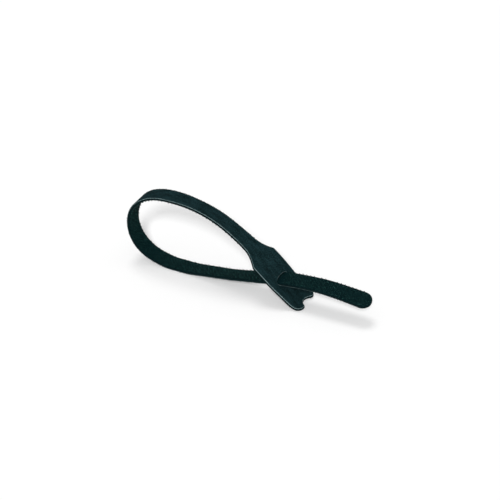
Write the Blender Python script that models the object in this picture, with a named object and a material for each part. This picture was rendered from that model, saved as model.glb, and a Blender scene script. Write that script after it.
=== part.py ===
# A hook and loop cable tie, closed into a loop: a flat strap whose wider head has a slot
# across it, through which the strap's own tail passes.
# One flexible laminate, so one solid. Metres, +Z up, long axis along X.

import bpy
import bmesh
import numpy as np

for old in list(bpy.data.objects):
    bpy.data.objects.remove(old, do_unlink=True)

# Driving dimensions
STRAP_WIDTH = 0.0120
THICKNESS = 0.0022
# how far the head stands out past the strap on each side, and how much more at the slot
HEAD_MARGIN = 0.0048
HEAD_SWELL = 0.0007
# slot centre to the bottom of the head's end notch
NOTCH_REACH = 0.0197
# slot centre to the shoulder where the head starts to narrow, and the narrowing's length
SHOULDER_REACH = 0.0168
FLARE_LENGTH = 0.0116
# the two lobes beside the notch
LOBE_LENGTH = 0.0033
LOBE_CORNER = 0.0042
TIP_CORNER = 0.0010
# play around the strap in its slot, at each end and on each face
SLOT_END_PLAY = 0.0006
SLOT_FACE_PLAY = 0.0005
# slot centre to the middle of the strap at the loop's far bend, which sets the loop's size
LOOP_REACH = 0.1062
# the tail past the slot, to its round tip
TAIL_LENGTH = 0.0596

STRAP_HALF = STRAP_WIDTH / 2
HEAD_HALF = STRAP_HALF + HEAD_MARGIN
SLOT_HALF = STRAP_HALF + SLOT_END_PLAY
# the notch is the print of the next tie's round tip
NOTCH_RADIUS = STRAP_HALF
# above 1 the flare is hollow
FLARE_POWER = 1.8
# above 2 the slot's ends are squarer than an ellipse's
SLOT_POWER = 6
# longest facet along the strap
FACET = 0.0025
# facets across the slot's half and the head's margin, along the head, the flare and the tip
SLOT_FACETS = 7
MARGIN_FACETS = 5
HEAD_FACETS = 8
FLARE_FACETS = 8
TIP_FACETS = 6
# degrees past which two facets meet in a crisp edge
SHARP_ANGLE = 40

# The bent route of the strap's middle, in millimetres from the slot: along, across, height
# of the underside, and the lean of the strap's width in degrees.
# From the end of the head, up past the slot and round the loop to the resting stretch
UPPER_RUN = [
    (19.0, 0.5, 0.3, -1.0),
    (14.0, 0.5, 0.4, 0.0),
    (7.0, 0.2, 5.7, -2.0),
    (0.0, 0.0, 12.3, -6.5),
    (-8.0, 0.0, 19.6, -10.0),
    (-16.0, 0.4, 26.0, -11.5),
    (-24.0, 0.8, 31.7, -3.5),
    (-32.0, 1.1, 36.8, 1.0),
    (-45.0, 1.6, 43.4, 3.0),
    (-60.0, 1.7, 47.8, 3.0),
    (-75.0, 1.6, 49.4, -1.0),
    (-88.0, 1.3, 48.1, -1.5),
    (-97.0, 1.0, 43.8, -2.0),
    (-103.5, 0.7, 36.2, 1.0),
    (-106.2, 0.4, 26.5, 0.5),
    (-104.5, 0.0, 16.1, 1.0),
    (-99.0, -0.1, 8.0, 2.0),
    (-91.5, 0.0, 3.0, 0.0),
    (-83.0, -0.2, 0.65, 0.0),
    (-76.0, -0.5, 0.0, 0.0),
]
# From the resting stretch back up to the slot, and on to the tail's tip
LOWER_RUN = [
    (-66.5, -0.3, 0.0, 0.0),
    (-60.0, -0.2, 0.4, -2.0),
    (-50.0, 0.0, 1.8, -4.0),
    (-40.0, -0.1, 3.4, -5.0),
    (-30.0, -0.2, 5.3, -4.5),
    (-20.0, 0.0, 7.5, -2.0),
    (-10.0, 0.0, 10.0, 2.0),
    (0.0, 0.0, 12.3, 4.5),
    (10.0, -0.1, 13.9, 4.5),
    (20.0, 0.0, 14.8, 5.0),
    (30.0, 0.4, 14.9, 7.0),
    (40.0, 0.6, 14.3, 8.5),
    (50.0, 0.7, 13.4, 11.5),
    (59.3, 0.6, 12.5, 14.0),
]
# samples between two of these points, and how many such gaps each end is drawn on by
STEPS = 24
END_GAPS = 3


def spline(knots, start_dir, end_dir, count):
    """A smooth curve through the knots. An end direction of None leaves that end free."""
    p = np.array(knots, dtype=float)
    gaps = np.linalg.norm(np.diff(p[:, :3], axis=0), axis=1)
    n = len(p)
    a = np.zeros((n, n))
    b = np.zeros(p.shape)
    for i in range(1, n - 1):
        g0 = gaps[i - 1]
        g1 = gaps[i]
        a[i, i - 1] = g1
        a[i, i] = 2 * (g0 + g1)
        a[i, i + 1] = g0
        b[i] = 3 * (g1 * (p[i] - p[i - 1]) / g0 + g0 * (p[i + 1] - p[i]) / g1)
    a[0, 0] = 1
    a[n - 1, n - 1] = 1
    if start_dir is None:
        a[0, 0] = 2
        a[0, 1] = 1
        b[0] = 3 * (p[1] - p[0]) / gaps[0]
    else:
        b[0] = start_dir
    if end_dir is None:
        a[n - 1, n - 1] = 2
        a[n - 1, n - 2] = 1
        b[n - 1] = 3 * (p[n - 1] - p[n - 2]) / gaps[n - 2]
    else:
        b[n - 1] = end_dir
    slopes = np.linalg.solve(a, b)
    out = []
    for i in range(n - 1):
        for t in np.linspace(0, 1, count, endpoint=False):
            h = gaps[i]
            q = (
                (2 * t**3 - 3 * t**2 + 1) * p[i]
                + (t**3 - 2 * t**2 + t) * h * slopes[i]
                + (3 * t**2 - 2 * t**3) * p[i + 1]
                + (t**3 - t**2) * h * slopes[i + 1]
            )
            out.append(q)
    out.append(p[n - 1])
    return np.array(out)


def knot_at_slot(run):
    return [knot[0] for knot in run].index(0.0)


# The route sampled finely, with a straight length added past each end
level_heading = (1, 0, 0, 0)
upper = spline(UPPER_RUN, None, level_heading, STEPS)
lower = spline(LOWER_RUN, level_heading, None, STEPS)
lead = upper[0] + (upper[0] - upper[1]) * STEPS * END_GAPS
trail = lower[-1] + (lower[-1] - lower[-2]) * STEPS * END_GAPS
path = np.vstack([lead, upper, lower, trail])
slot_index = 1 + knot_at_slot(UPPER_RUN) * STEPS
flat_index = len(upper)
crossing_index = 1 + len(upper) + knot_at_slot(LOWER_RUN) * STEPS

# Middle points in metres, and lengths along them measured from the slot
middle = path[:, :3] * LOOP_REACH / -path[:, 0].min()
middle[:, 2] += THICKNESS / 2
lean = np.radians(path[:, 3])
along = np.concatenate([[0], np.cumsum(np.linalg.norm(np.diff(middle, axis=0), axis=1))])
along -= along[slot_index]
loop_length = along[crossing_index]
tip = loop_length + TAIL_LENGTH

# Directions at each sample: forwards, across towards the near edge, and out of the soft side
forward = np.gradient(middle, along, axis=0)
forward /= np.linalg.norm(forward, axis=1)[:, None]
near = np.array([0.0, -1.0, 0.0])
level = near - forward * (forward @ near)[:, None]
level /= np.linalg.norm(level, axis=1)[:, None]
across = level * np.cos(lean)[:, None] + np.cross(forward, level) * np.sin(lean)[:, None]
outward = np.cross(forward, across)


def sample(table, s):
    return np.array([np.interp(s, along, table[:, k]) for k in range(3)])


def place(s, v, d):
    """The bent position of the flat pattern's point s along, v across and d out of its middle."""
    return sample(middle, s) + sample(across, s) * v + sample(outward, s) * d


# The slot's opening, from the angle at which the strap passes through the head
meeting = float(forward[slot_index] @ forward[crossing_index])
sine = np.sqrt(1 - meeting**2)
SLOT_OPENING = THICKNESS * (1 + abs(meeting)) / sine + 2 * SLOT_FACE_PLAY / sine


def slot_edge(v):
    """Half the slot's opening at v across: parallel sides and rounded ends."""
    u = min(abs(v) / SLOT_HALF, 1)
    return SLOT_OPENING / 2 * (1 - u**SLOT_POWER) ** (1 / SLOT_POWER)


def end_edge(v):
    """How far the head reaches past its slot at v across: round notch, two lobes."""
    notch = NOTCH_REACH + NOTCH_RADIUS - np.sqrt(max(NOTCH_RADIUS**2 - v * v, 0))
    lobe = NOTCH_REACH + LOBE_LENGTH
    x = abs(v) - (HEAD_HALF - LOBE_CORNER)
    if x > 0:
        lobe -= LOBE_CORNER - np.sqrt(max(LOBE_CORNER**2 - x * x, 0))
    # the two run together over a rounded tip
    return (notch + lobe - np.sqrt((notch - lobe) ** 2 + TIP_CORNER**2)) / 2


def half_width(s):
    """Half the width past the shoulder: a hollow flare down to the plain strap."""
    u = (SHOULDER_REACH + FLARE_LENGTH - s) / FLARE_LENGTH
    return STRAP_HALF + HEAD_MARGIN * min(max(u, 0), 1) ** FLARE_POWER


def swell(s, v):
    """The head's point v across, moved out with the sides, which swell towards the slot."""
    reach = SHOULDER_REACH if s > 0 else NOTCH_REACH + LOBE_LENGTH
    grown = HEAD_SWELL * max(1 - (s / reach) ** 2, 0)
    beyond = max(abs(v) - SLOT_HALF, 0) / (HEAD_HALF - SLOT_HALF)
    return v + np.sign(v) * grown * beyond


# The flat pattern as rows of points
points = []
faces = []


def row(s_values, v_values):
    start = len(points)
    points.extend(zip(s_values, v_values))
    return list(range(start, len(points)))


def add_face(corners):
    ring = [c for i, c in enumerate(corners) if c != corners[i - 1]]
    if len(ring) > 2:
        faces.append(ring)


def join(low, high):
    for i in range(len(low) - 1):
        add_face([low[i], high[i], high[i + 1], low[i + 1]])


def quarter(facets):
    """Steps from 0 to 1 that shorten like those of a quarter circle."""
    return np.sin(np.linspace(0, np.pi / 2, facets + 1))


inner = SLOT_HALF * quarter(SLOT_FACETS)
outer = SLOT_HALF + (HEAD_HALF - SLOT_HALF) * quarter(MARGIN_FACETS)
half = list(inner) + list(outer[1:])
columns = [-v for v in half[:0:-1]] + half


def head_row(s_values):
    return row(s_values, [swell(s, v) for s, v in zip(s_values, columns)])


# the head from its end to the slot, then from the slot to the shoulder
before = None
for f in np.linspace(0, 1, HEAD_FACETS + 1):
    this = head_row([-end_edge(v) * (1 - f) - slot_edge(v) * f for v in columns])
    if before:
        join(before, this)
    before = this
after = head_row([slot_edge(v) for v in columns])
# past the slot's ends both parts of the head share their points
for i, v in enumerate(columns):
    if abs(v) > SLOT_HALF * (1 - 1e-9):
        after[i] = before[i]
before = after
for f in np.linspace(0, 1, HEAD_FACETS + 1)[1:]:
    this = head_row([slot_edge(v) * (1 - f) + SHOULDER_REACH * f for v in columns])
    join(before, this)
    before = this


def strap_row(s, half):
    return row([s, s, s], [-half, 0, half])


# the flare and the strap, three points wide
stations = list(SHOULDER_REACH + FLARE_LENGTH * np.linspace(0, 1, FLARE_FACETS + 1)[1:])
this = strap_row(stations[0], half_width(stations[0]))
centre = len(columns) // 2
add_face([this[0], this[1]] + before[centre::-1])
add_face([this[1], this[2]] + before[: centre - 1 : -1])
before = this
for stop in (along[flat_index], along[flat_index + 1], tip - STRAP_HALF):
    count = int(np.ceil((stop - stations[-1]) / FACET))
    stations += list(np.linspace(stations[-1], stop, count + 1)[1:])
for s in stations[1:]:
    this = strap_row(s, half_width(s))
    join(before, this)
    before = this
for a in np.linspace(0, np.pi / 2, TIP_FACETS + 1)[1:-1]:
    this = strap_row(tip - STRAP_HALF * (1 - np.sin(a)), STRAP_HALF * np.cos(a))
    join(before, this)
    before = this
end = row([tip], [0])
join(before, end * 3)

# Both faces of the laminate and the cut edge between them
used = sorted({c for f in faces for c in f})
mesh = bmesh.new()
top = {}
bottom = {}
for c in used:
    s, v = points[c]
    top[c] = mesh.verts.new(place(s, v, THICKNESS / 2))
    bottom[c] = mesh.verts.new(place(s, v, -THICKNESS / 2))
directed = set()
for ring in faces:
    mesh.faces.new([top[c] for c in ring])
    mesh.faces.new([bottom[c] for c in reversed(ring)])
    for i, c in enumerate(ring):
        directed.add((ring[i - 1], c))
for a, b in sorted(directed):
    if (b, a) not in directed:
        mesh.faces.new([top[b], top[a], bottom[a], bottom[b]])
bmesh.ops.triangulate(mesh, faces=mesh.faces[:])
bmesh.ops.recalc_face_normals(mesh, faces=mesh.faces[:])

# the box's middle at X = Y = 0, its underside on the ground
coords = np.array([v.co for v in mesh.verts])
low = coords.min(axis=0)
high = coords.max(axis=0)
bmesh.ops.translate(
    mesh,
    verts=mesh.verts[:],
    vec=(-(low[0] + high[0]) / 2, -(low[1] + high[1]) / 2, -low[2]),
)

data = bpy.data.meshes.new("cable_tie")
mesh.to_mesh(data)
mesh.free()
# the bends look smooth, the cut edge stays crisp
data.shade_smooth()
data.set_sharp_from_angle(angle=np.radians(SHARP_ANGLE))
tie = bpy.data.objects.new("cable_tie", data)
bpy.context.scene.collection.objects.link(tie)

fabric = bpy.data.materials.new("black_hook_and_loop_fabric")
fabric.use_nodes = True
shader = fabric.node_tree.nodes["Principled BSDF"]
shader.inputs["Base Color"].default_value = (0.006, 0.015, 0.017, 1)
shader.inputs["Roughness"].default_value = 0.85
data.materials.append(fabric)
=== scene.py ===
import bpy
import bmesh
import numpy as np
from mathutils import Matrix, Vector


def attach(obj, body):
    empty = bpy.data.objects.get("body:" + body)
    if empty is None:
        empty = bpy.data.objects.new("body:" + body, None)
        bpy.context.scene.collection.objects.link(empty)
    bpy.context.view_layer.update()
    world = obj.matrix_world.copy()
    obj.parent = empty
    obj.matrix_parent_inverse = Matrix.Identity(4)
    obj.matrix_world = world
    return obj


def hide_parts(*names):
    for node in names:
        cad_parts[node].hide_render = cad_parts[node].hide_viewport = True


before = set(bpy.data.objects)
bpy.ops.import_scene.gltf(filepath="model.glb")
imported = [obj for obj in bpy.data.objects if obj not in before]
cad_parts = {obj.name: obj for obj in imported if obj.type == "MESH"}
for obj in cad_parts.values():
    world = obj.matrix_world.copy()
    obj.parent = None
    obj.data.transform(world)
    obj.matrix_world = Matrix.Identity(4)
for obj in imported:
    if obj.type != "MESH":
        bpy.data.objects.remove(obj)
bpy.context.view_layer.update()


# Pile strap
# The body of the tie and its soft side: warp-knitted nylon, brushed until a fine pile of
# loops stands on it. The whole tie is die-cut from the laminate in one stroke, which leaves
# the cut ends of the yarn open to view as a paler edge all round, made paler still by a
# painted highlight along the rim.

STRAP_WIDTH = 0.0120
THICKNESS = 0.0022
# how far the head stands out past the strap on each side, and how much more at the slot
HEAD_MARGIN = 0.0048
HEAD_SWELL = 0.0007
# slot centre to the bottom of the head's end notch
NOTCH_REACH = 0.0197
# slot centre to the shoulder where the head starts to narrow, and the narrowing's length
SHOULDER_REACH = 0.0168
FLARE_LENGTH = 0.0116
# above 1 the flare is hollow
FLARE_POWER = 1.8
# the two lobes beside the notch, their outer corners and their tips
LOBE_LENGTH = 0.0033
LOBE_CORNER = 0.0042
LOBE_TIP = 0.0010
# slot centre to the middle of the strap at the loop's far bend, which sets the loop's size
LOOP_REACH = 0.1062
# the tail past the slot, to its round tip
TAIL_LENGTH = 0.0596
# the slot's ends grip the strap's edges, and its sides all but touch the strap's faces
SLOT_HALF = 0.0059
SLOT_FACE_PLAY = 0.0001
SLOT_CORNER = 0.0006
# heights in the laminate, out of its middle towards the soft side, and how far its rims
# are rounded
KNIT_TOP = 0.00090
KNIT_BACK = -0.00052
KNIT_RIM = 0.00024

# The route of the strap's middle, in millimetres from the slot: along, across, height of
# the underside, and the lean of its width in degrees. From the head's end up past the slot
# and round the loop to the stretch that rests on the table
UPPER_RUN = [
    (19.0, 0.5, 0.3, -1.0), (14.0, 0.5, 0.4, 0.0), (7.0, 0.2, 5.7, -2.0), (0.0, 0.0, 12.3, -6.5),
    (-8.0, 0.0, 19.6, -10.0), (-16.0, 0.4, 26.0, -11.5), (-24.0, 0.8, 31.7, -3.5),
    (-32.0, 1.1, 36.8, 1.0), (-45.0, 1.6, 43.4, 3.0), (-60.0, 1.7, 47.8, 3.0),
    (-75.0, 1.6, 49.4, -1.0), (-88.0, 1.3, 48.1, -1.5), (-97.0, 1.0, 43.8, -2.0),
    (-103.5, 0.7, 36.2, 1.0), (-106.2, 0.4, 26.5, 0.5), (-104.5, 0.0, 16.1, 1.0),
    (-99.0, -0.1, 8.0, 2.0), (-91.5, 0.0, 3.0, 0.0), (-83.0, -0.2, 0.65, 0.0),
    (-76.0, -0.5, 0.0, 0.0),
]
# From the resting stretch up to the slot and on to the tail's tip
LOWER_RUN = [
    (-66.5, -0.3, 0.0, 0.0), (-60.0, -0.2, 0.4, -2.0), (-50.0, 0.0, 1.8, -4.0),
    (-40.0, -0.1, 3.4, -5.0), (-30.0, -0.2, 5.3, -4.5), (-20.0, 0.0, 7.5, -2.0),
    (-10.0, 0.0, 10.0, 2.0), (0.0, 0.0, 12.3, 4.5), (10.0, -0.1, 13.9, 4.5),
    (20.0, 0.0, 14.8, 5.0), (30.0, 0.4, 14.9, 7.0), (40.0, 0.6, 14.3, 8.5),
    (50.0, 0.7, 13.4, 11.5), (59.3, 0.6, 12.5, 14.0),
]
# points in each stretch between two knots
ROUTE_STEPS = 24
# how many stretches the route runs on straight past each of its ends
RUN_ON = 3
# where the slot's centre lies in the shared frame
SLOT_CENTRE = (0.0239625, -0.0000238)


def spline(knots, start_dir, end_dir):
    """A smooth curve through the knots. An end direction of None leaves that end free."""
    p = np.array(knots, dtype=float)
    gaps = np.linalg.norm(np.diff(p[:, :3], axis=0), axis=1)
    n = len(p)
    a = np.zeros((n, n))
    b = np.zeros(p.shape)
    for i in range(1, n - 1):
        a[i, i - 1] = gaps[i]
        a[i, i] = 2 * (gaps[i - 1] + gaps[i])
        a[i, i + 1] = gaps[i - 1]
        before = gaps[i] * (p[i] - p[i - 1]) / gaps[i - 1]
        after = gaps[i - 1] * (p[i + 1] - p[i]) / gaps[i]
        b[i] = 3 * (before + after)
    for end, beside, heading in ((0, 1, start_dir), (n - 1, n - 2, end_dir)):
        a[end, end] = 1 if heading else 2
        a[end, beside] = 0 if heading else 1
        b[end] = heading or 3 * (p[max(end, beside)] - p[min(end, beside)]) / gaps[min(end, beside)]
    slopes = np.linalg.solve(a, b)
    t = np.linspace(0, 1, ROUTE_STEPS, endpoint=False)[:, None]
    out = []
    for i in range(n - 1):
        out.append(
            (2 * t**3 - 3 * t**2 + 1) * p[i]
            + (t**3 - 2 * t**2 + t) * gaps[i] * slopes[i]
            + (3 * t**2 - 2 * t**3) * p[i + 1]
            + (t**3 - t**2) * gaps[i] * slopes[i + 1]
        )
    return np.vstack(out + [p[-1:]])


def knot_at_slot(run):
    """Which knot of a run lies at the slot."""
    return [knot[0] for knot in run].index(0.0)


upper = spline(UPPER_RUN, None, (1, 0, 0, 0))
lower = spline(LOWER_RUN, (1, 0, 0, 0), None)
lead = upper[0] + (upper[0] - upper[1]) * ROUTE_STEPS * RUN_ON
trail = lower[-1] + (lower[-1] - lower[-2]) * ROUTE_STEPS * RUN_ON
path = np.vstack([lead, upper, lower, trail])
slot_index = 1 + knot_at_slot(UPPER_RUN) * ROUTE_STEPS
crossing_index = 1 + len(upper) + knot_at_slot(LOWER_RUN) * ROUTE_STEPS
middle = path[:, :3] * LOOP_REACH / -path[:, 0].min()
middle[:, 2] += THICKNESS / 2
lean = np.radians(path[:, 3])[:, None]
along = np.concatenate([[0], np.cumsum(np.linalg.norm(np.diff(middle, axis=0), axis=1))])
along -= along[slot_index]
tip = along[crossing_index] + TAIL_LENGTH
forward = np.gradient(middle, along, axis=0)
forward /= np.linalg.norm(forward, axis=1)[:, None]
level = np.array([0.0, -1.0, 0.0]) - forward * -forward[:, 1:2]
level /= np.linalg.norm(level, axis=1)[:, None]
across = level * np.cos(lean) + np.cross(forward, level) * np.sin(lean)
outward = np.cross(forward, across)
middle[:, :2] += SLOT_CENTRE
meeting = forward[slot_index] @ forward[crossing_index]
sine = np.sqrt(1 - meeting**2)
# The slot is wide enough for the strap's thickness at the angle at which it passes through.
# Its sides stand square in the middle, and towards its ends the strap pulls them along
SLOT_OPENING = THICKNESS * (1 + abs(meeting)) / sine + 2 * SLOT_FACE_PLAY / sine
SLOT_GRIP = (THICKNESS + 2 * SLOT_FACE_PLAY) / sine
SLOT_SLANT = abs(meeting) / sine


def bend(flat):
    """Points of the flat pattern (along, across, out of the middle) on the bent strap."""
    out = np.zeros(flat.shape)
    for k in range(3):
        out[:, k] = np.interp(flat[:, 0], along, middle[:, k])
        out[:, k] += np.interp(flat[:, 0], along, across[:, k]) * flat[:, 1]
        out[:, k] += np.interp(flat[:, 0], along, outward[:, k]) * flat[:, 2]
    # what reaches the table is pressed flat on it
    out[:, 2] = np.maximum(out[:, 2], 0)
    return out


def swell(s):
    """How far the head's sides bow out past their straight line, beside the slot."""
    reach = np.where(s > 0, SHOULDER_REACH, NOTCH_REACH + LOBE_LENGTH)
    return HEAD_SWELL * np.maximum(1 - (s / reach) ** 2, 0)


def slot_side(side, v, d):
    """Where the slot's side stands along the head, v across and d out of the middle."""
    pull = np.minimum(np.abs(v) / SLOT_HALF, 1) ** 2
    return side * (SLOT_OPENING * (1 - pull) + SLOT_GRIP * pull) / 2 - SLOT_SLANT * pull * d


def draw_to(mesh, last, x, y):
    """Draws one side of an outline from the last corner on to x, y."""
    new = bmesh.ops.extrude_vert_indiv(mesh, verts=[last])["verts"][0]
    new.co = (x, y, 0)
    return new


NOTCH_FACETS = 10
FLARE_FACETS = 10
# points nearer to each other than this are joined
WELD = 0.00001
# what is nearer to a line or a point than this lies on it
TOUCH = 0.000001


def score(mesh, place, across_line):
    """Cuts the faces of the flat pattern along a straight line, and keeps both sides."""
    bmesh.ops.bisect_plane(
        mesh, geom=mesh.verts[:] + mesh.edges[:] + mesh.faces[:], dist=TOUCH,
        plane_co=place, plane_no=across_line,
    )


def die_cut(step, lines):
    """The tie's flat pattern in the XY plane, scored every step along and on lines across."""
    half = STRAP_WIDTH / 2
    head = half + HEAD_MARGIN
    mesh = bmesh.new()
    # the notch is the print of the next tie's round tip
    first = mesh.verts.new((-NOTCH_REACH, 0, 0))
    turn = np.arccos(1 - LOBE_LENGTH / half)
    arc = bmesh.ops.spin(
        mesh, geom=[first], cent=(-NOTCH_REACH - half, 0, 0), axis=(0, 0, 1), angle=turn,
        steps=NOTCH_FACETS,
    )
    lobe_tip = [g for g in arc["geom_last"] if isinstance(g, bmesh.types.BMVert)][0]
    lobe_corner = draw_to(mesh, lobe_tip, -NOTCH_REACH - LOBE_LENGTH, head)
    last = draw_to(mesh, lobe_corner, SHOULDER_REACH, head)
    for u in np.linspace(0, 1, FLARE_FACETS + 1)[1:]:
        margin = HEAD_MARGIN * (1 - u) ** FLARE_POWER
        last = draw_to(mesh, last, SHOULDER_REACH + FLARE_LENGTH * u, half + margin)
    tail_corner = draw_to(mesh, last, tip, half)
    last = draw_to(mesh, tail_corner, tip, 0)
    last = draw_to(mesh, last, SLOT_OPENING / 2, 0)
    slot_corner = draw_to(mesh, last, SLOT_OPENING / 2, SLOT_HALF)
    slot_corner_2 = draw_to(mesh, slot_corner, -SLOT_OPENING / 2, SLOT_HALF)
    last = draw_to(mesh, slot_corner_2, -SLOT_OPENING / 2, 0)
    mesh.edges.new((last, first))
    bmesh.ops.contextual_create(mesh, geom=mesh.edges[:])
    # corners with their radius and facets
    rounds = [
        (lobe_tip, LOBE_TIP, 4), (lobe_corner, LOBE_CORNER, 8), (tail_corner, half, 16),
        (slot_corner, SLOT_CORNER, 4), (slot_corner_2, SLOT_CORNER, 4),
    ]
    for corner, radius, segments in rounds:
        bmesh.ops.bevel(
            mesh, geom=[corner], offset=radius, offset_type="OFFSET", affect="VERTICES",
            segments=segments, profile=0.5, material=-1, clamp_overlap=False,
        )
    bmesh.ops.remove_doubles(mesh, verts=mesh.verts[:], dist=WELD)
    for s in np.arange(-NOTCH_REACH - LOBE_LENGTH + step / 2, tip, step):
        score(mesh, (s, 0, 0), (1, 0, 0))
    for v in lines:
        score(mesh, (0, v, 0), (0, 1, 0))
    for vert in mesh.verts:
        vert.co.y += swell(vert.co.x) * max(vert.co.y - SLOT_HALF, 0) / (head - SLOT_HALF)
    bmesh.ops.mirror(
        mesh, geom=mesh.verts[:] + mesh.edges[:] + mesh.faces[:], matrix=Matrix.Identity(4),
        merge_dist=TOUCH, axis="Y",
    )
    return mesh


# edges that turn more than this, in radians, are rims
RIM_TURN = 1.3
# faces whose normal stands less upright than this belong to the cut edge
UPRIGHT = 0.95


def raise_layer(mesh, back, top, rim):
    """Gives the flat pattern its thickness from back to top, with softly broken rims."""
    grown = bmesh.ops.extrude_face_region(mesh, geom=mesh.faces[:], use_keep_orig=True)
    lifted = [g for g in grown["geom"] if isinstance(g, bmesh.types.BMVert)]
    bmesh.ops.translate(mesh, verts=mesh.verts[:], vec=(0, 0, back))
    bmesh.ops.translate(mesh, verts=lifted, vec=(0, 0, top - back))
    bmesh.ops.recalc_face_normals(mesh, faces=mesh.faces[:])
    mesh.normal_update()
    edges = [
        e for e in mesh.edges
        if e.calc_face_angle(0) > RIM_TURN and abs(e.verts[0].co.z - e.verts[1].co.z) < TOUCH
    ]
    bmesh.ops.bevel(
        mesh, geom=edges, offset=rim, offset_type="OFFSET", affect="EDGES", segments=2,
        profile=0.5, material=-1,
    )
    mesh.normal_update()
    for face in mesh.faces:
        face.smooth = True
        face.material_index = 1 if abs(face.normal.z) < UPRIGHT else 0
    for vert in mesh.verts:
        s, v, d = vert.co
        if abs(v) < SLOT_HALF + rim and abs(s) < SLOT_OPENING / 2 + rim * 1.01:
            # one of the slot's sides, its rim included with a little to spare
            side = np.sign(s)
            share = min(abs(s) / (SLOT_OPENING / 2), 1)
            vert.co.x += (slot_side(side, v, d) - side * SLOT_OPENING / 2) * share


def finish_layer(mesh, name, materials):
    """Keeps the flat pattern's place as a UV map, bends the layer and makes it an object."""
    uv = mesh.loops.layers.uv.new("flat_pattern")
    for face in mesh.faces:
        for loop in face.loops:
            s, v, d = loop.vert.co
            # in the slot the whole cut, not only its rim, is painted pale: painted light from the
            # front on the slot's wall
            if abs(s) < SLOT_OPENING / 2 + KNIT_RIM and abs(v) < SLOT_HALF + KNIT_RIM:
                d = KNIT_TOP
            # on the cut edge the map runs round the outline and through the thickness
            loop[uv].uv = (s + v, d) if face.material_index else (s, v)
    bent = bend(np.array([v.co for v in mesh.verts]))
    for vert, place in zip(mesh.verts, bent):
        vert.co = place
    data = bpy.data.meshes.new(name)
    mesh.to_mesh(data)
    mesh.free()
    for material in materials:
        data.materials.append(material)
    piece = bpy.data.objects.new(name, data)
    bpy.context.scene.collection.objects.link(piece)
    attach(piece, "root")
    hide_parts("cable_tie")
    return piece


def colour(code):
    """A linear colour from an sRGB hex value."""
    parts = [int(code[i:i + 2], 16) / 255 for i in (1, 3, 5)]
    return [c / 12.92 if c <= 0.04045 else ((c + 0.055) / 1.055) ** 2.4 for c in parts] + [1]


def node(tree, kind, settings=None, links=None):
    """One node with its settings, and links from (node, socket) into its own sockets."""
    made = tree.nodes.new(kind)
    for key, value in (settings or {}).items():
        if isinstance(key, str) and hasattr(made, key):
            setattr(made, key, value)
        else:
            made.inputs[key].default_value = value
    for key, (source, socket) in (links or {}).items():
        tree.links.new(source.outputs[socket], made.inputs[key])
    return made


def new_material(name):
    """A new material, with its node tree and its shader."""
    material = bpy.data.materials.new(name)
    material.use_nodes = True
    return material, material.node_tree, material.node_tree.nodes["Principled BSDF"]


# tufts drawn coarser than the real 0.3 mm so that they show, and how far they stand out
TUFT = 0.0007
TUFT_DEPTH = 0.00018
# width of the marks that the brush leaves, which are some three times as long
BRUSH_MARK = 0.0030

# Brushed nylon loop pile, piece dyed black: the nap scatters light, so it shows no gloss,
# only a faint bloom at a glance and small flecks where loops catch the light. The paler
# flecks in its colour are partly random tone and partly painted highlight for that glint
pile_fabric, tree, shader = new_material("brushed_nylon_loop_pile")
flat = node(tree, "ShaderNodeUVMap", {"uv_map": "flat_pattern"})
tufts = node(
    tree, "ShaderNodeTexNoise", {"Scale": 1 / TUFT, "Detail": 3.0}, {"Vector": (flat, "UV")}
)
stretch = node(
    tree, "ShaderNodeMapping", {"Scale": (0.35, 1.0, 1.0)}, {"Vector": (flat, "UV")}
)
brushed = node(
    tree, "ShaderNodeTexNoise", {"Scale": 1 / BRUSH_MARK, "Detail": 2.0},
    {"Vector": (stretch, "Vector")},
)
fleck_and_glint = node(
    tree, "ShaderNodeMix", {"data_type": "FLOAT", "Factor": 0.35},
    {2: (tufts, "Fac"), 3: (brushed, "Fac")},
)
# paler flecks: partly random tone, partly painted highlight
shade = node(tree, "ShaderNodeValToRGB", links={"Fac": (fleck_and_glint, 0)})
shade.color_ramp.elements[0].position = 0.40
shade.color_ramp.elements[0].color = colour("#041719")
shade.color_ramp.elements[1].position = 0.62
shade.color_ramp.elements[1].color = colour("#1f393d")
tree.links.new(shade.outputs["Color"], shader.inputs["Base Color"])
nap = node(
    tree, "ShaderNodeBump", {"Strength": 0.6, "Distance": TUFT_DEPTH}, {"Height": (tufts, "Fac")}
)
tree.links.new(nap.outputs["Normal"], shader.inputs["Normal"])
shader.inputs["Roughness"].default_value = 0.9
shader.inputs["Specular IOR Level"].default_value = 0.06
shader.inputs["Sheen Weight"].default_value = 0.01
shader.inputs["Sheen Roughness"].default_value = 0.6
shader.inputs["Sheen Tint"].default_value = colour("#9fc0c4")

# yarn ends, drawn longer along the edge than the real ones so that they show, and how far
# they stand out
YARN_END = 0.0004
YARN_END_DEPTH = 0.00015
# how far below the soft side the pale line starts and where it is at its palest, in rims
PALE_LINE = (1.2, 0.6)

# Cut nylon yarn: the cut is dark, partly the black knit that the blade presses together and
# partly painted shade on the edge's wall. Along the rim of the soft side the blade opens the
# loops, and this paler grey line is partly the opened yarn and partly a painted highlight
# where the rim catches the light
cut_yarn, tree, shader = new_material("die_cut_nylon_yarn")
flat = node(tree, "ShaderNodeUVMap", {"uv_map": "flat_pattern"})
height = node(tree, "ShaderNodeSeparateXYZ", links={0: (flat, "UV")})
line_foot, line_top = [KNIT_TOP - KNIT_RIM * share for share in PALE_LINE]
rim = node(
    tree, "ShaderNodeMapRange", {"From Min": line_foot, "From Max": line_top},
    {"Value": (height, "Y")},
)
stretch = node(
    tree, "ShaderNodeMapping", {"Scale": (1.0, 0.6, 1.0)}, {"Vector": (flat, "UV")}
)
ends = node(
    tree, "ShaderNodeTexNoise", {"Scale": 1 / YARN_END, "Detail": 3.0},
    {"Vector": (stretch, "Vector")},
)
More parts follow.
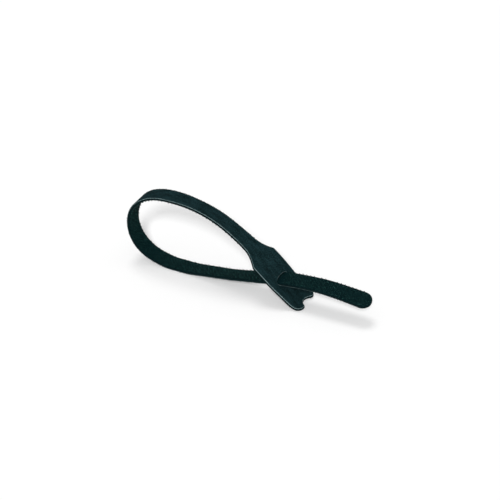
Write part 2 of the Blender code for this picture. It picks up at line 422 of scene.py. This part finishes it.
# the dark cut: partly the black pressed yarn, partly painted shade on the edge's wall
pressed = node(tree, "ShaderNodeValToRGB", links={"Fac": (ends, "Fac")})
pressed.color_ramp.elements[0].position = 0.35
pressed.color_ramp.elements[0].color = colour("#020b0c")
pressed.color_ramp.elements[1].position = 0.65
pressed.color_ramp.elements[1].color = colour("#0e2426")
# the pale line: partly the opened yarn, partly a painted highlight on the lit rim
opened_and_lit = node(tree, "ShaderNodeValToRGB", links={"Fac": (ends, "Fac")})
opened_and_lit.color_ramp.elements[0].position = 0.35
opened_and_lit.color_ramp.elements[0].color = colour("#4a6264")
opened_and_lit.color_ramp.elements[1].position = 0.65
opened_and_lit.color_ramp.elements[1].color = colour("#93a9aa")
shade = node(
    tree, "ShaderNodeMix", {"data_type": "RGBA"},
    {0: (rim, "Result"), 6: (pressed, "Color"), 7: (opened_and_lit, "Color")},
)
tree.links.new(shade.outputs[2], shader.inputs["Base Color"])
fray = node(
    tree, "ShaderNodeBump", {"Strength": 0.5, "Distance": YARN_END_DEPTH},
    {"Height": (ends, "Fac")},
)
tree.links.new(fray.outputs["Normal"], shader.inputs["Normal"])
shader.inputs["Roughness"].default_value = 0.9
shader.inputs["Specular IOR Level"].default_value = 0.06

# where the flat pattern is divided so that it bends smoothly: the step along it, and the
# lines at each side of its middle
SCORE_STEP = 0.0012
SCORE_LINES = (0.0015, 0.0030, 0.0045, 0.0056, 0.0075, 0.0090)
knit = die_cut(SCORE_STEP, SCORE_LINES)
cut_area = sum(face.calc_area() for face in knit.faces)
raise_layer(knit, KNIT_BACK, KNIT_TOP, KNIT_RIM)
pile_strap = finish_layer(knit, "pile_strap", [pile_fabric, cut_yarn])


# Hook film
# The back of the laminate: a thin extruded nylon film, welded to the knit. The hooks are
# moulded in one with it, so it has their colour and their slight gloss.

# heights in the laminate: the film is sunk a little into the knit, where it is welded
FILM_TOP = -0.00050
FILM_BACK = -0.00078
FILM_RIM = 0.00006
# width of a streak in the film, which is some 4 mm long
STREAK = 0.0003

# Moulded nylon, dyed black: semi-matt, with fine streaks along the strap from the extruder
hook_nylon, tree, shader = new_material("moulded_black_nylon")
flat = node(tree, "ShaderNodeUVMap", {"uv_map": "flat_pattern"})
stretch = node(
    tree, "ShaderNodeMapping", {"Scale": (0.08, 1.0, 1.0)}, {"Vector": (flat, "UV")}
)
streak = node(
    tree, "ShaderNodeTexNoise", {"Scale": 1 / STREAK, "Detail": 2.0},
    {"Vector": (stretch, "Vector")},
)
shade = node(tree, "ShaderNodeValToRGB", links={"Fac": (streak, "Fac")})
shade.color_ramp.elements[0].position = 0.35
shade.color_ramp.elements[0].color = colour("#011315")
shade.color_ramp.elements[1].position = 0.68
shade.color_ramp.elements[1].color = colour("#072023")
tree.links.new(shade.outputs["Color"], shader.inputs["Base Color"])
shader.inputs["Roughness"].default_value = 0.6
shader.inputs["Specular IOR Level"].default_value = 0.02

film = die_cut(SCORE_STEP, SCORE_LINES)
raise_layer(film, FILM_BACK, FILM_TOP, FILM_RIM)
hook_film = finish_layer(film, "hook_film", [hook_nylon, hook_nylon])


# Hooks
# Rows of small J hooks moulded in one with the film. Their stems stand straight and their
# crooks point along the strap, in turn one way and the other.

# a little coarser than real, so that the rows show as a toothed edge
HOOK_PITCH = 0.00125
# a hook's square foot from its middle to a corner, and the share of that at the stem's top
HOOK_FOOT = 0.000224
STEM_TAPER = 0.75
STEM_HEIGHT = 0.000372
# the crook's radius, how far it turns over in degrees, and its steps
CROOK_RADIUS = 0.000288
CROOK_TURN = 170
CROOK_STEPS = 4
# how far the hooks keep from the edge, stray from their rows, and are sunk in the film
HOOK_MARGIN = 0.00022
HOOK_STRAY = 0.00006
HOOK_SINK = 0.00003
# smallest and largest hook, and how far one turns (in radians) and leans off true
HOOK_SIZES = (0.7, 1.1)
HOOK_TWIST = 0.15
HOOK_LEAN = 0.15
# how near the slot the hooks are pressed down, and to which share of their size
SLOT_PRESS = 0.0030
PRESSED_HOOK = 0.4
# patches of tone a little wider than the pitch, so that most hooks have a tone of their own
TONE_PATCH = 0.0014

# The same nylon in the hooks: so thin that light comes through their crooks. The shader
# lets none through; the paler specks over the dark film are painted light in the colour,
# given to the hooks in random patches
thin_nylon, tree, shader = new_material("moulded_nylon_hooks")
flat = node(tree, "ShaderNodeUVMap", {"uv_map": "flat_pattern"})
patches = node(
    tree, "ShaderNodeTexNoise", {"Scale": 1 / TONE_PATCH, "Detail": 1.0}, {"Vector": (flat, "UV")}
)
shade = node(tree, "ShaderNodeValToRGB", links={"Fac": (patches, "Fac")})
shade.color_ramp.elements[0].position = 0.38
shade.color_ramp.elements[0].color = colour("#06201f")
shade.color_ramp.elements[1].position = 0.66
shade.color_ramp.elements[1].color = colour("#2c534f")
tree.links.new(shade.outputs["Color"], shader.inputs["Base Color"])
shader.inputs["Roughness"].default_value = 0.5
shader.inputs["Specular IOR Level"].default_value = 0.05


def inside(s, v, d, margin):
    """Whether points of the flat pattern lie in the tie, at least a margin from its edge."""
    half = STRAP_WIDTH / 2
    v = np.abs(v)
    u = np.clip((SHOULDER_REACH + FLARE_LENGTH - s) / FLARE_LENGTH, 0, 1)
    ok = v < half + HEAD_MARGIN * u**FLARE_POWER + swell(s) - margin
    corner_s = LOBE_CORNER - NOTCH_REACH - LOBE_LENGTH
    corner_v = half + HEAD_MARGIN - LOBE_CORNER
    past_corner = np.hypot(np.minimum(s - corner_s, 0), np.maximum(v - corner_v, 0))
    ok &= past_corner < LOBE_CORNER - margin
    ok &= np.hypot(s + NOTCH_REACH + half, v) > half + margin
    past_slot = (s > slot_side(1, v, d) + margin) | (s < slot_side(-1, v, d) - margin)
    ok &= past_slot | (v > SLOT_HALF + margin)
    ok &= (s < tip - half) | (np.hypot(s - tip + half, v) < half - margin)
    return ok


def grid(pitch, margin, jitter, d, rng):
    """Places in staggered rows over the flat pattern, each moved a little."""
    s, v = np.meshgrid(
        np.arange(-NOTCH_REACH - LOBE_LENGTH, tip, pitch),
        np.arange(-STRAP_WIDTH, STRAP_WIDTH, pitch),
        indexing="ij",
    )
    v = v + (np.arange(len(v)) % 2)[:, None] * pitch / 2
    s = (s + rng.uniform(-jitter, jitter, s.shape)).ravel()
    v = (v + rng.uniform(-jitter, jitter, v.shape)).ravel()
    keep = inside(s, v, d, margin)
    return s[keep], v[keep]


def sow(template, name, s, v, d, turn, size, tilt, material):
    """One object with a copy of the small form standing at each place of the flat pattern.

    It stands at height d in the laminate, and out of it on the side that d is on.
    """
    template.verts.index_update()
    coords = np.array([p.co for p in template.verts])
    faces = np.array([[p.index for p in f.verts] for f in template.faces])
    template.free()
    x = coords[:, 0] * size[:, None] + coords[:, 2] * size[:, None] * tilt[:, None]
    y = coords[:, 1] * size[:, None]
    z = coords[:, 2] * size[:, None] * (1 if d > 0 else -1)
    flat = np.stack([
        s[:, None] + x * np.cos(turn)[:, None] - y * np.sin(turn)[:, None],
        v[:, None] + x * np.sin(turn)[:, None] + y * np.cos(turn)[:, None],
        d + z,
    ], axis=2).reshape(-1, 3)
    shift = np.arange(len(s))[:, None, None] * len(coords)
    corners = (faces[None] + shift).reshape(-1, faces.shape[1])
    if d < 0:
        corners = corners[:, ::-1]
    data = bpy.data.meshes.new(name)
    data.from_pydata(bend(flat).tolist(), [], corners.tolist())
    data.polygons.foreach_set("use_smooth", np.ones(len(corners), dtype=bool))
    uv = data.uv_layers.new(name="flat_pattern")
    uv.data.foreach_set("uv", flat[corners.ravel(), :2].ravel())
    data.materials.append(material)
    piece = bpy.data.objects.new(name, data)
    bpy.context.scene.collection.objects.link(piece)
    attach(piece, "root")
    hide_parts("cable_tie")
    return piece


def hook_form():
    """One J hook: a square stem that is spun over at its top into the crook."""
    mesh = bmesh.new()
    bmesh.ops.create_circle(mesh, cap_ends=True, radius=HOOK_FOOT, segments=4)
    grown = bmesh.ops.extrude_face_region(mesh, geom=mesh.faces[:], use_keep_orig=True)
    top = [g for g in grown["geom"] if isinstance(g, bmesh.types.BMVert)]
    bmesh.ops.translate(mesh, verts=top, vec=(0, 0, STEM_HEIGHT))
    bmesh.ops.scale(mesh, verts=top, vec=(STEM_TAPER, STEM_TAPER, 1))
    cap = [g for g in grown["geom"] if isinstance(g, bmesh.types.BMFace)]
    bmesh.ops.spin(
        mesh, geom=cap, cent=(CROOK_RADIUS, 0, STEM_HEIGHT), axis=(0, 1, 0),
        angle=np.radians(CROOK_TURN), steps=CROOK_STEPS,
    )
    bmesh.ops.remove_doubles(mesh, verts=mesh.verts[:], dist=TOUCH)
    bmesh.ops.delete(mesh, geom=[f for f in mesh.faces if f in cap], context="FACES_ONLY")
    bmesh.ops.triangulate(mesh, faces=mesh.faces[:])
    bmesh.ops.recalc_face_normals(mesh, faces=mesh.faces[:])
    return mesh


rng = np.random.default_rng(7)
s, v = grid(HOOK_PITCH, HOOK_MARGIN, HOOK_STRAY, FILM_BACK, rng)
count = len(s)
# each file of hooks along the strap points the other way from the one beside it
turn = np.pi * (np.floor(v / HOOK_PITCH) % 2) + rng.uniform(-HOOK_TWIST, HOOK_TWIST, count)
size = rng.uniform(*HOOK_SIZES, count)
# where the strap passes the slot, it and the head press each other's hooks down
pressed = (np.abs(s) < SLOT_PRESS) & (np.abs(v) < SLOT_HALF)
pressed |= np.abs(s - along[crossing_index]) < SLOT_PRESS
size[pressed] = PRESSED_HOOK
hooks = sow(
    hook_form(), "hooks", s, v, FILM_BACK + HOOK_SINK, turn, size,
    rng.uniform(-HOOK_LEAN, HOOK_LEAN, count), thin_nylon,
)


# Pile loops
# The brushed nap itself: small unbroken loops of nylon, crowded over the soft side, which
# the hooks of the strap's other face catch in. The brush leaves them leaning all ways.

# fewer and coarser than the real ones, so that they show
LOOP_PITCH = 0.00050
LOOP_RADIUS = 0.00022
YARN_RADIUS = 0.00006
LOOP_STEPS = 4
# pieces that the pile is divided in along the strap
LOOP_STRIPS = 3
# how far the loops keep from the edge, stray from their rows, and are sunk in the knit
LOOP_MARGIN = 0.00005
LOOP_STRAY = 0.00017
LOOP_SINK = 0.00004
# smallest and largest loop, and how far one leans off upright
LOOP_SIZES = (0.7, 1.25)
LOOP_LEAN = 0.8


def loop_form():
    """One loop: a three-sided strand spun over in an arch."""
    mesh = bmesh.new()
    foot = bmesh.ops.create_circle(mesh, cap_ends=False, radius=YARN_RADIUS, segments=3)
    bmesh.ops.translate(mesh, verts=foot["verts"], vec=(-LOOP_RADIUS, 0, 0))
    bmesh.ops.spin(
        mesh, geom=mesh.verts[:] + mesh.edges[:], cent=(0, 0, 0), axis=(0, 1, 0),
        angle=np.pi, steps=LOOP_STEPS,
    )
    bmesh.ops.holes_fill(mesh, edges=mesh.edges[:], sides=3)
    bmesh.ops.triangulate(mesh, faces=mesh.faces[:])
    bmesh.ops.recalc_face_normals(mesh, faces=mesh.faces[:])
    # all faces of a form this small then turn the same way, which may still be inwards
    if mesh.calc_volume(signed=True) < 0:
        bmesh.ops.reverse_faces(mesh, faces=mesh.faces[:])
    return mesh


s, v = grid(LOOP_PITCH, LOOP_MARGIN, LOOP_STRAY, KNIT_TOP, rng)
for k in range(LOOP_STRIPS):
    strip = (s >= tip * k / LOOP_STRIPS) & (s < tip * (k + 1) / LOOP_STRIPS)
    if k == 0:
        strip |= s < 0
    count = int(strip.sum())
    loops = sow(
        loop_form(), "pile_loops_%d" % (k + 1), s[strip], v[strip], KNIT_TOP - LOOP_SINK,
        rng.uniform(0, 2 * np.pi, count), rng.uniform(*LOOP_SIZES, count),
        rng.uniform(-LOOP_LEAN, LOOP_LEAN, count), pile_fabric,
    )

# longer loops that the blade pulled out along the edge, leaning outwards over it
EDGE_PITCH = 0.00065
EDGE_STRAY = 0.00030
EDGE_SINK = 0.00010
# how far in from the edge they stand
EDGE_DEPTH = 0.00045
# their size against the other loops, its smallest and largest share, and how far they lean
EDGE_LOOP_SIZE = 1.4
EDGE_SIZES = (0.5, 1.1)
EDGE_LEANS = (0.1, 1.1)
# how far one turns off square to the edge, in radians
EDGE_TWIST = 0.9
s, v = grid(EDGE_PITCH, 0.0, EDGE_STRAY, KNIT_TOP, rng)
edge = ~inside(s, v, KNIT_TOP, EDGE_DEPTH)
count = int(edge.sum())
edge_loops = sow(
    loop_form(), "edge_loops", s[edge], v[edge], KNIT_TOP - EDGE_SINK,
    np.sign(v[edge]) * np.pi / 2 + rng.uniform(-EDGE_TWIST, EDGE_TWIST, count),
    EDGE_LOOP_SIZE * rng.uniform(*EDGE_SIZES, count), rng.uniform(*EDGE_LEANS, count),
    pile_fabric,
)


# Floor
# A plain white table. Its own light, for the camera's eye and for reflections alone, keeps
# it white round the object, while the lamps still lay the object's shadow on it.

FLOOR_SIZE = 8
FLOOR_WHITE = 0.86
# the table's own light, which lifts it to white
FLOOR_LIFT = 0.16


def seen_directly(tree, low, high):
    """A strength that is high where the camera or a reflection looks, and low as a light."""
    eye = node(tree, "ShaderNodeLightPath")
    gloss = node(
        tree, "ShaderNodeMath", {"operation": "MAXIMUM"},
        {0: (eye, "Is Glossy Ray"), 1: (eye, "Is Transmission Ray")},
    )
    seen = node(
        tree, "ShaderNodeMath", {"operation": "MAXIMUM"}, {0: (eye, "Is Camera Ray"), 1: (gloss, 0)}
    )
    return node(tree, "ShaderNodeMapRange", {"To Min": low, "To Max": high}, {"Value": (seen, 0)})


bpy.ops.mesh.primitive_plane_add(size=FLOOR_SIZE, location=(0, 0, 0))
floor = bpy.context.object
floor.name = "floor"
# Matt white laminate: without gloss, so nothing on it competes with the object's shadow
white, tree, shader = new_material("matt_white_table")
shader.inputs["Base Color"].default_value = (FLOOR_WHITE, FLOOR_WHITE, FLOOR_WHITE, 1)
shader.inputs["Roughness"].default_value = 0.9
shader.inputs["Specular IOR Level"].default_value = 0.0
shader.inputs["Emission Color"].default_value = (1, 1, 1, 1)
lift = seen_directly(tree, 0.0, FLOOR_LIFT)
tree.links.new(lift.outputs["Result"], shader.inputs["Emission Strength"])
floor.data.materials.append(white)


# Lamps
# Soft studio light: a lamp just above the camera, a broader one high up behind on the left,
# and an even white surround. Together they light a level surface at a strength of 1.

# share of the light, azimuth and elevation it comes from, and apparent width, in degrees
LAMPS = {
    "key": (0.42, 22, 39, 11),
    "back": (0.25, -132, 70, 24),
}
for name, (share, azimuth, elevation, width) in LAMPS.items():
    lamp_data = bpy.data.lights.new(name, "SUN")
    lamp_data.energy = share * np.pi / np.sin(np.radians(elevation))
    lamp_data.angle = np.radians(width)
    lamp = bpy.data.objects.new(name, lamp_data)
    lamp.rotation_euler = (np.radians(90 - elevation), 0, np.radians(azimuth))
    bpy.context.scene.collection.objects.link(lamp)
world = bpy.data.worlds.new("surround")
bpy.context.scene.world = world
world.use_nodes = True
tree = world.node_tree
surround = seen_directly(tree, 1 - sum(lamp[0] for lamp in LAMPS.values()), 1.0)
tree.nodes["Background"].inputs["Color"].default_value = (1, 1, 1, 1)
tree.links.new(surround.outputs["Result"], tree.nodes["Background"].inputs["Strength"])


# Camera
# Where the photograph was taken from: in front, to the right and above, with a long lens.

# its place, how far its view turns off the Y axis and points down, in degrees, and its
# lens in millimetres
CAMERA_PLACE = (0.27031, -0.53816, 0.4403)
CAMERA_TURN = -26.48
CAMERA_DIP = 34.44
CAMERA_LENS = 85
camera_data = bpy.data.cameras.new("camera")
camera_data.lens = CAMERA_LENS
camera_data.sensor_width = 36
camera = bpy.data.objects.new("camera", camera_data)
camera.location = CAMERA_PLACE
turn = np.radians(CAMERA_TURN)
dip = np.radians(CAMERA_DIP)
looks = Vector((np.sin(turn) * np.cos(dip), np.cos(turn) * np.cos(dip), -np.sin(dip)))
camera.rotation_euler = looks.to_track_quat("-Z", "Y").to_euler()
bpy.context.scene.collection.objects.link(camera)
bpy.context.scene.camera = camera
bpy.context.scene.view_settings.view_transform = "Standard"
